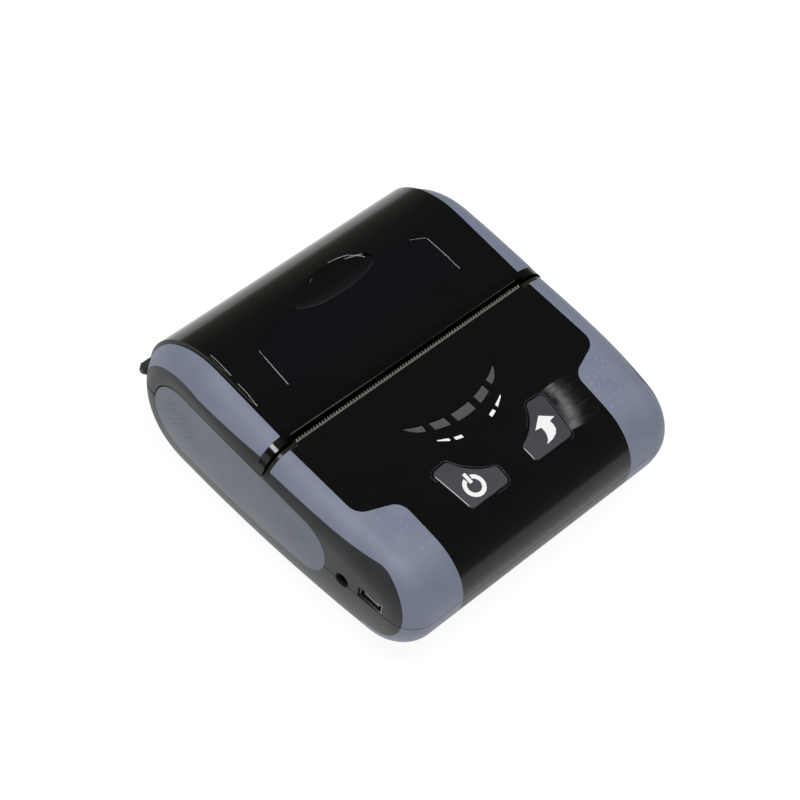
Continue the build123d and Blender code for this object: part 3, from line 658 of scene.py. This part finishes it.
def print_feed_mark():
    """Arrow pointing to the paper slot, with a tail that curves away to the left."""
    outline = [
        (14.75, -31.95), (18.2, -34.55), (16.2, -34.9), (16.3, -36.2), (15.95, -37.4),
        (14.9, -38.45), (13.1, -39.1), (10.85, -39.3), (12.0, -38.45), (12.6, -37.4),
        (12.9, -36.3), (12.9, -34.95), (10.95, -34.65),
    ]
    plates("feed_mark", [laid(surface("feed_button"), outline)], INK, "print_white", "feed_button")


def print_dashes():
    """Four strokes that follow the row of status windows, the outer ones drawn out to a point."""
    skin = surface("control_panel", "front_shell")
    outlines = [
        [(-12.1, -21.05), (-9.08, -22.5), (-9.0, -23.2), (-9.4, -23.3), (-11.9, -21.5)],
        [(-7.8, -23.1), (-5.6, -23.75), (-5.7, -24.7), (-7.9, -24.05)],
        [(4.55, -23.75), (6.6, -23.1), (6.8, -24.05), (4.65, -24.8)],
        [(7.95, -22.6), (11.4, -21.1), (11.2, -21.55), (8.15, -23.45)],
    ]
    plates("panel_dashes", [laid(skin, outline) for outline in outlines], INK, "print_white", "base")


def staggered(centre, half_wide, half_high, pitch, lean):
    """Places in staggered rows inside a leaning ellipse."""
    row_gap = 0.87  # of the pitch, so that every place has six neighbours about as far off
    places = []
    rows = int(half_high / pitch * 2) + 2
    for row in range(-rows, rows + 1):
        for column in range(-rows * 2, rows * 2 + 1):
            a = (column + 0.5 * (row % 2)) * pitch
            b = row * pitch * row_gap
            if (a / half_wide) ** 2 + (b / half_high) ** 2 <= 1:
                turned = math.radians(lean)
                places.append((
                    centre[0] + a * math.cos(turned) - b * math.sin(turned),
                    centre[1] + a * math.sin(turned) + b * math.cos(turned),
                ))
    return places


def raise_dots():
    """Fine raised dots on the rubber: sparse on the front grips, closer at both ends of the ovals. Their
    lighter colour is a painted highlight.
    """
    front = [
        (-40.5, -28.7), (-38.4, -29.3), (-36.3, -30.1), (-34.5, -31.3), (-33.7, -33.3), (-33.3, -35.3),
        (-33.2, -37.3), (-33.1, -39.3), (-33.6, -41.6), (-41.5, -30.0), (-39.9, -31.2), (-38.1, -32.0),
        (-36.0, -32.6), (-35.6, -34.9), (-35.3, -37.1), (-34.9, -39.4), (-42.4, -31.2), (-40.2, -33.4),
        (-37.7, -34.5), (-37.6, -36.9), (-36.6, -39.1), (-38.9, -39.4), (-36.5, -41.2), (-39.9, -36.0),
    ]
    rear_end = staggered((34.6, 24.2), 7.2, 4.6, 1.6, 12.0)
    front_end = staggered((-12.0, 26.4), 6.6, 3.6, 1.6, -16.0)
    for side, word in SIDES:
        places = laid(surface("front_grip_" + word), [(-side * x, y) for x, y in front])
        domes("grip_dots_" + word, places, 0.36, 0.2, "grip_dot", "base")
        skin = surface("side_grip_" + word)
        places = [from_side(skin, side, y, z) for y, z in rear_end + front_end]
        domes("side_dots_" + word, places, 0.34, 0.18, "side_dot", "base")


def mark_cheeks():
    """Three small pits in the cheek beside the front edge of the cover, on each side, drawn as low black
    domes whose black is painted shade for the hollows.
    """
    skin = surface("cover_frame")
    for side, word in SIDES:
        places = [from_side(skin, side, y, z) for y, z in ((9.9, 37.0), (7.2, 38.7), (4.2, 37.0))]
        domes("cheek_pits_" + word, places, 0.42, 0.05, "socket_black", "cover")


# Painted highlights, as light beads along edges of the cover where they catch the light: piece, radius,
# depth in the surface, finish, and runs in plan
COVER_HIGHLIGHT_BEADS = (
    ("lip_edge", 0.13, 0.06, "lip_painted_highlight", [
        line((-41.0, 3.1), (-14.0, 2.8), 28) + line((-13.0, 2.76), (41.0, 2.72), 50),
    ]),
    ("window_edges", 0.14, 0.06, "edge_bead", [
        line((-30.9, 26.3), (-31.2, 20.0), 12) + line((-31.25, 19.0), (-31.45, 14.4), 10),
        line((30.4, 26.4), (30.9, 20.0), 12) + line((30.95, 19.0), (31.0, 14.2), 10),
    ]),
    ("window_corner_highlight", 0.08, 0.05, "edge_bead", [line((26.0, 28.75), (30.2, 26.7), 10)]),
    ("ridge_edges", 0.11, 0.06, "edge_bead", [
        line((-41.7, 32.9), (-41.75, 24.9), 16),
        line((-41.95, 22.1), (-41.9, 18.4), 8) + line((-42.0, 17.6), (-42.3, 14.2), 8),
    ]),
    ("ridge_foot_highlights", 0.08, 0.05, "lip_painted_highlight", [
        line((-42.2, 32.6), (-42.5, 29.0), 8) + line((-42.5, 28.4), (-42.0, 25.0), 8),
        line((-42.85, 21.3), (-42.85, 17.6), 8) + line((-42.8, 17.0), (-42.35, 14.3), 8),
    ]),
    ("scoop_edge", 0.12, 0.06, "edge_bead", [[
        (3.6, 37.1), (5.0, 36.9), (6.6, 36.6), (8.2, 36.1),
        (9.6, 35.5), (11.0, 34.6), (12.2, 33.5), (12.9, 32.4),
    ]]),
)


def light_edges():
    """Painted highlights: light beads along the edges of the cover and of the two keys where they catch the
    light.
    """
    skin = surface("cover_panel", "cover_window", "cover_frame")
    for name, radius, sink, finish, runs in COVER_HIGHLIGHT_BEADS:
        bead(name, [laid(skin, run) for run in runs], radius, sink, finish, "cover")
    power_highlight_run = line((-20.2, -29.0), (-18.75, -40.0), 24)
    feed_highlight_run = line((4.78, -36.2), (4.95, -40.6), 12)
    # Each key's bead, named for its edge, is a painted highlight.
    for key, run, radius in (("power", power_highlight_run, 0.12), ("feed", feed_highlight_run, 0.11)):
        button = key + "_button"
        bead(key + "_edge", [laid(surface(button), run)], radius, 0.05, "key_painted_highlight", button)


def rim_of_hole(skin, centre, bearing, outside):
    """The place on the panel just outside a hole's edge, closed in on from its centre at a bearing."""
    panel_above = 36 * MM
    farthest, halvings = 14.0, 14
    turn = math.radians(bearing)
    along = Vector((math.cos(turn), math.sin(turn)))

    def at(distance):
        spot = Vector(centre) + along * distance
        return drop(skin, spot.x, spot.y)

    inner, outer = 0.0, farthest
    for _ in range(halvings):
        middle = (inner + outer) / 2
        point = at(middle)[0]
        if point and point.z > panel_above:
            outer = middle
        else:
            inner = middle
    return at(outer + outside)


def paint_key_rim_highlights():
    """Painted highlights on the far rims of the two keys' openings, which show as fine grey lines."""
    skin = surface("control_panel")
    key_x, key_y = 13.6, -35.6
    outside = 0.4
    bearings = [-58 + 3.0 * i for i in range(68)]
    runs = [
        [rim_of_hole(skin, (side * key_x, key_y), bearing, outside) for bearing in bearings]
        for side, _ in SIDES
    ]
    bead("key_rim_highlights", runs, 0.09, 0.05, "rim_painted_highlight", "base")


def cut_teeth():
    """The tear bar as it is seen: a blade whose teeth reach the slot, with nothing of its leg showing. The
    blade's body is gloss black, painted shade for the bar lying in the panel's shade.
    """
    count, pitch = 82, 1.0
    reach = 1.1
    rise = math.radians(50)
    root_y, root_z = 0.72, 41.72
    # The middle of a triangle lies a third of its height from the root
    y = root_y + math.cos(rise) * reach / 3
    z = root_z + math.sin(rise) * reach / 3
    places = [Vector(((i + 0.5 - count / 2) * pitch, y, z)) * MM for i in range(count)]
    # Each tooth is wider than the pitch, so that neighbours join at the root
    width = 1.2 * pitch
    sizes = {
        "Radius": width * MM / math.sqrt(3),
        "Stretch": reach / (width * math.sqrt(3) / 2),
        "Thickness": 0.15 * MM,
        "Rise": rise,
    }
    teeth = grown("tear_teeth", TEETH, places, [], "tooth_steel", "base", **sizes)
    # The blade's body: gloss black, as painted shade by the panel's edge.
    profile = [(-0.25, 38.2), (0.3, 38.2), (0.3, 41.4), (0.76, 41.4), (0.76, 41.8), (-0.25, 41.8)]
    half = pitch * count / 2
    corners = [Vector((x, y, z)) * MM for x in (-half, half) for y, z in profile]
    sides = len(profile)
    faces = [tuple(range(sides)), tuple(reversed(range(sides, 2 * sides)))]
    faces += [(i, sides + i, sides + (i + 1) % sides, (i + 1) % sides) for i in range(sides)]
    mesh = bpy.data.meshes.new("tear_blade")
    mesh.from_pydata(corners, [], faces)
    blade_piece = add_piece("tear_blade", mesh, "gloss_black", "base")
    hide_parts("tear_bar")
    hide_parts("tear_bar")


def line_print_head():
    """The glazed heating line along the print head, where the platen presses the paper."""
    facing = Vector((0, 1, 0))
    corners = ((-40.0, 33.2), (-40.0, 34.8), (40.0, 34.8), (40.0, 33.2))
    outline = [(Vector((x, 1.9, z)) * MM, facing) for x, z in corners]
    plates("heating_line", [outline], 0.02, "socket_black", "base")


# Camera: fitted to the outline in the photograph
CAMERA_AZIMUTH = math.radians(-52.87)
CAMERA_ELEVATION = math.radians(52.05)
CAMERA_ROLL = math.radians(10.99)
CAMERA_DISTANCE = 0.68108
CAMERA_LENS = 117.54
CAMERA_ASIDE = Vector((-0.0027823, -0.0100441))
AIM = Vector((0.0, 1.0 * MM, 42.0 * MM))


def place_camera():
    """Sets the camera up from its direction, roll and distance, moved aside to frame the photograph."""
    back = Vector((
        math.sin(CAMERA_AZIMUTH) * math.cos(CAMERA_ELEVATION),
        -math.cos(CAMERA_AZIMUTH) * math.cos(CAMERA_ELEVATION),
        math.sin(CAMERA_ELEVATION),
    ))
    level = Vector((0, 0, 1)).cross(back).normalized()
    above = back.cross(level)
    right = level * math.cos(CAMERA_ROLL) + above * math.sin(CAMERA_ROLL)
    up = above * math.cos(CAMERA_ROLL) - level * math.sin(CAMERA_ROLL)
    data = bpy.data.cameras.new("camera")
    data.lens = CAMERA_LENS
    data.sensor_width = 36.0
    data.clip_start = 0.05
    data.clip_end = 20.0
    camera = link_object("camera", data)
    turn = Matrix((right, up, back)).transposed().to_4x4()
    eye = AIM + right * CAMERA_ASIDE.x + up * CAMERA_ASIDE.y + back * CAMERA_DISTANCE
    camera.matrix_world = Matrix.Translation(eye) @ turn
    bpy.context.scene.camera = camera


def lay_floor():
    """A pale floor just under the printer, wide enough to fill every view, that glows as a painted pool of
    light: full near the printer and fading farther out.
    """
    mesh = bpy.data.meshes.new("floor")
    half = 4.0
    under = -0.02 * MM
    corners = [(x * half, y * half, under) for x, y in ((-1, -1), (1, -1), (1, 1), (-1, 1))]
    mesh.from_pydata(corners, [], [(0, 1, 2, 3)])
    floor = link_object("floor", mesh)
    finish = Finish("floor", Emission_Strength=0.93)
    finish.base(finish.blend(finish.noise(0.4, 2.0), (102, 102, 102), (108, 108, 108)))
    finish.rough(0.8)
    # Painted light: the floor's glow is full within 0.24 m of the middle and falls to 0.4 beyond 0.6 m.
    painted_light_pool = finish.steps(finish.away(), (0.24, 1.0), (0.6, 0.4))
    finish.set(finish.shader.inputs["Emission Color"], painted_light_pool)
    mesh.materials.append(finish.material)


LAMP_HEIGHT = 1.0
LAMP_TARGET = Vector((0, 0, 0.02))


def add_lamp(name, shape, size, power, place):
    """An area lamp that shines straight down."""
    data = bpy.data.lights.new(name, "AREA")
    data.shape = shape
    data.size, data.size_y = size
    data.energy = power
    lamp = link_object(name, data)
    lamp.location = place
    return lamp


def soft_lamp(name, place, size, power):
    """A broad oval lamp turned to the printer."""
    lamp = add_lamp(name, "ELLIPSE", size, power, place)
    lamp.rotation_mode = "QUATERNION"
    lamp.rotation_quaternion = (LAMP_TARGET - Vector(place)).to_track_quat("-Z", "Y")


def strip_lamp(name, first, last, wide, power):
    """A thin lamp between two places in plan, whose reflection draws a line on the gloss."""
    run = Vector(last) - Vector(first)
    middle = (Vector(first) + Vector(last)) / 2
    lamp = add_lamp(name, "RECTANGLE", (wide, run.length), power, (*middle, LAMP_HEIGHT))
    lamp.rotation_euler = (0, 0, math.atan2(-run.x, run.y))


def light_studio():
    """Soft light from above, and thin lamps whose reflection is the pale streak on the control panel."""
    soft_lamp("overhead", (0.0, -0.16, LAMP_HEIGHT), (0.6, 0.6), 6.2)
    soft_lamp("key", (-0.4, 0.26, LAMP_HEIGHT), (0.3, 0.25), 2.6)
    soft_lamp("left", (-1.0, 0.35, 0.5), (0.5, 0.5), 0.4)
    strip_lamp("streak", (0.624, -0.06), (0.64, 0.168), 0.006, 0.03)
    strip_lamp("streak_end", (0.624, -0.06), (0.631, 0.06), 0.013, 0.0135)


def surround_studio():
    """A dim room round the scene, warm near the horizon and darker overhead."""
    world = bpy.data.worlds.new("studio")
    bpy.context.scene.world = world
    world.use_nodes = True
    tree = world.node_tree
    tree.nodes.clear()
    place = tree.nodes.new("ShaderNodeTexCoord")
    height = tree.nodes.new("ShaderNodeSeparateXYZ")
    ramp = tree.nodes.new("ShaderNodeValToRGB")
    light = tree.nodes.new("ShaderNodeBackground")
    output = tree.nodes.new("ShaderNodeOutputWorld")
    tree.links.new(place.outputs["Generated"], height.inputs[0])
    tree.links.new(height.outputs["Z"], ramp.inputs[0])
    tree.links.new(ramp.outputs[0], light.inputs["Color"])
    tree.links.new(light.outputs[0], output.inputs["Surface"])
    fill_ramp(ramp.color_ramp, (
        (0.0, (0.32, 0.3, 0.24)),
        (0.18, (0.24, 0.225, 0.18)),
        (0.5, (0.14, 0.14, 0.135)),
        (1.0, (0.1, 0.1, 0.1)),
    ))


dress_nodes()
print_power_mark()
print_feed_mark()
print_dashes()
raise_dots()
mark_cheeks()
light_edges()
paint_key_rim_highlights()
cut_teeth()
line_print_head()
place_camera()
lay_floor()
light_studio()
surround_studio()
bpy.context.scene.view_settings.view_transform = "Standard"
